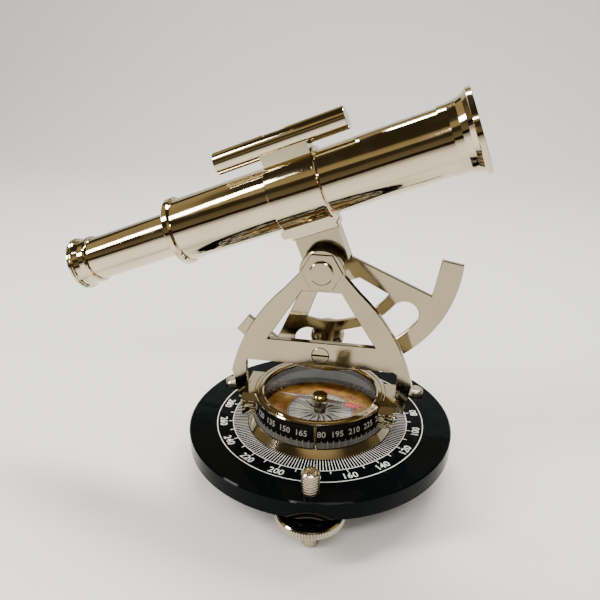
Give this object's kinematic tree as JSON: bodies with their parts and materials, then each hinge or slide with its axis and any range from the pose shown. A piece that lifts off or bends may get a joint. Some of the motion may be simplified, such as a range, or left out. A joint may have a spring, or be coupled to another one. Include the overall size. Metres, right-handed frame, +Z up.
{
  "type": "theodolite",
  "caption": "Small polished theodolite: a compass box on a black graduated base with levelling screws carries an A-shaped standard, a tilting telescope with spirit level and a clamp sector.",
  "frame": {"origin": "on the vertical axis of the base, in the plane of the three feet", "axes": "+Z up along the vertical axis, +X along the standard towards the objective end of the telescope, +Y away from the side the compass index faces"},
  "size_m": [0.1591, 0.1076, 0.1478],
  "materials": {
    "lacquer": "gloss",
    "nickel": "polished",
    "brass": "polished",
    "scale_black": "satin",
    "card_gold": "matte",
    "card_white": "matte",
    "glass": "gloss",
    "vial_blue": "gloss",
    "needle_steel": "polished"
  },
  "bodies": {
    "base": {"base_plate": "lacquer", "centre_bush": "brass"},
    "screw_front": {"levelling_screw_front": "nickel"},
    "screw_right": {"levelling_screw_right": "nickel"},
    "screw_left": {"levelling_screw_left": "nickel"},
    "wheel_front": {"thumb_wheel_front": "nickel"},
    "wheel_right": {"thumb_wheel_right": "nickel"},
    "wheel_left": {"thumb_wheel_left": "nickel"},
    "alidade": {"turntable": "nickel", "retaining_washer": "nickel", "retaining_screw": "nickel", "compass_box": "scale_black", "degree_ring": "card_gold", "compass_rose": "card_white", "needle_pivot": "nickel", "compass_glass": "glass", "bezel": "nickel", "scale_index": "nickel", "bracket_left": "nickel", "bracket_right": "nickel", "bracket_screws": "nickel", "standard": "nickel", "pivot_washer": "nickel", "pivot_bolt": "nickel", "pivot_spacer": "nickel", "pivot_nut": "nickel", "clamp_screw": "nickel"},
    "needle": {"compass_needle": "needle_steel", "needle_cap": "brass"},
    "clamp": {"clamp_knob": "nickel"},
    "telescope": {"sector": "nickel", "sector_screws": "nickel", "trunnion_block": "nickel", "block_cap": "nickel", "saddle": "nickel", "main_tube": "nickel", "collar": "nickel", "end_ring": "nickel", "objective_bell": "nickel", "objective_lens": "glass", "lens_retainer": "nickel", "level_saddle": "nickel", "level_tube": "nickel", "level_vial": "vial_blue", "level_cap_rear": "nickel", "level_cap_front": "nickel"},
    "draw": {"draw_tube": "nickel", "guide_ring": "nickel", "eyepiece_cup": "nickel", "eyepiece_ring": "brass", "eyepiece_lens": "glass"}
  },
  "joints": [
    {"name": "alidade_turn", "type": "hinge", "parent": "base", "child": "alidade", "pos_m": [0, 0, 0.022], "axis": [0, 0, 1], "continuous": true},
    {"name": "telescope_tilt", "type": "hinge", "parent": "alidade", "child": "telescope", "pos_m": [0, 0.0085, 0.0837], "axis": [0, -1, 0], "range_deg": [-46, 14]},
    {"name": "focus_slide", "type": "slide", "parent": "telescope", "child": "draw", "axis": [0.933, 0, 0.36], "range_m": [-0.01, 0.036]},
    {"name": "needle_turn", "type": "hinge", "parent": "alidade", "child": "needle", "pos_m": [0, 0, 0.03], "axis": [0, 0, 1], "continuous": true},
    {"name": "clamp_turn", "type": "hinge", "parent": "alidade", "child": "clamp", "pos_m": [0, 0.017, 0.0501], "axis": [0, 1, 0], "range_deg": [0, 720]},
    {"name": "wheel_turn_front", "type": "hinge", "parent": "base", "child": "wheel_front", "pos_m": [0.00414, -0.04461, 0.0126], "axis": [0, 0, 1], "range_deg": [-1080, 1080]},
    {"name": "screw_slide_front", "type": "slide", "parent": "base", "child": "screw_front", "axis": [0, 0, 1], "range_m": [-0.003, 0.003]},
    {"name": "wheel_turn_right", "type": "hinge", "parent": "base", "child": "wheel_right", "pos_m": [0.03656, 0.02589, 0.0126], "axis": [0, 0, 1], "range_deg": [-1080, 1080]},
    {"name": "screw_slide_right", "type": "slide", "parent": "base", "child": "screw_right", "axis": [0, 0, 1], "range_m": [-0.003, 0.003]},
    {"name": "wheel_turn_left", "type": "hinge", "parent": "base", "child": "wheel_left", "pos_m": [-0.0407, 0.01872, 0.0126], "axis": [0, 0, 1], "range_deg": [-1080, 1080]},
    {"name": "screw_slide_left", "type": "slide", "parent": "base", "child": "screw_left", "axis": [0, 0, 1], "range_m": [-0.003, 0.003]}
  ],
  "couplings": [
    {"joint": "screw_slide_front", "follows": "wheel_turn_front", "m_per_rad": 0.000159},
    {"joint": "screw_slide_right", "follows": "wheel_turn_right", "m_per_rad": 0.000159},
    {"joint": "screw_slide_left", "follows": "wheel_turn_left", "m_per_rad": 0.000159}
  ]
}
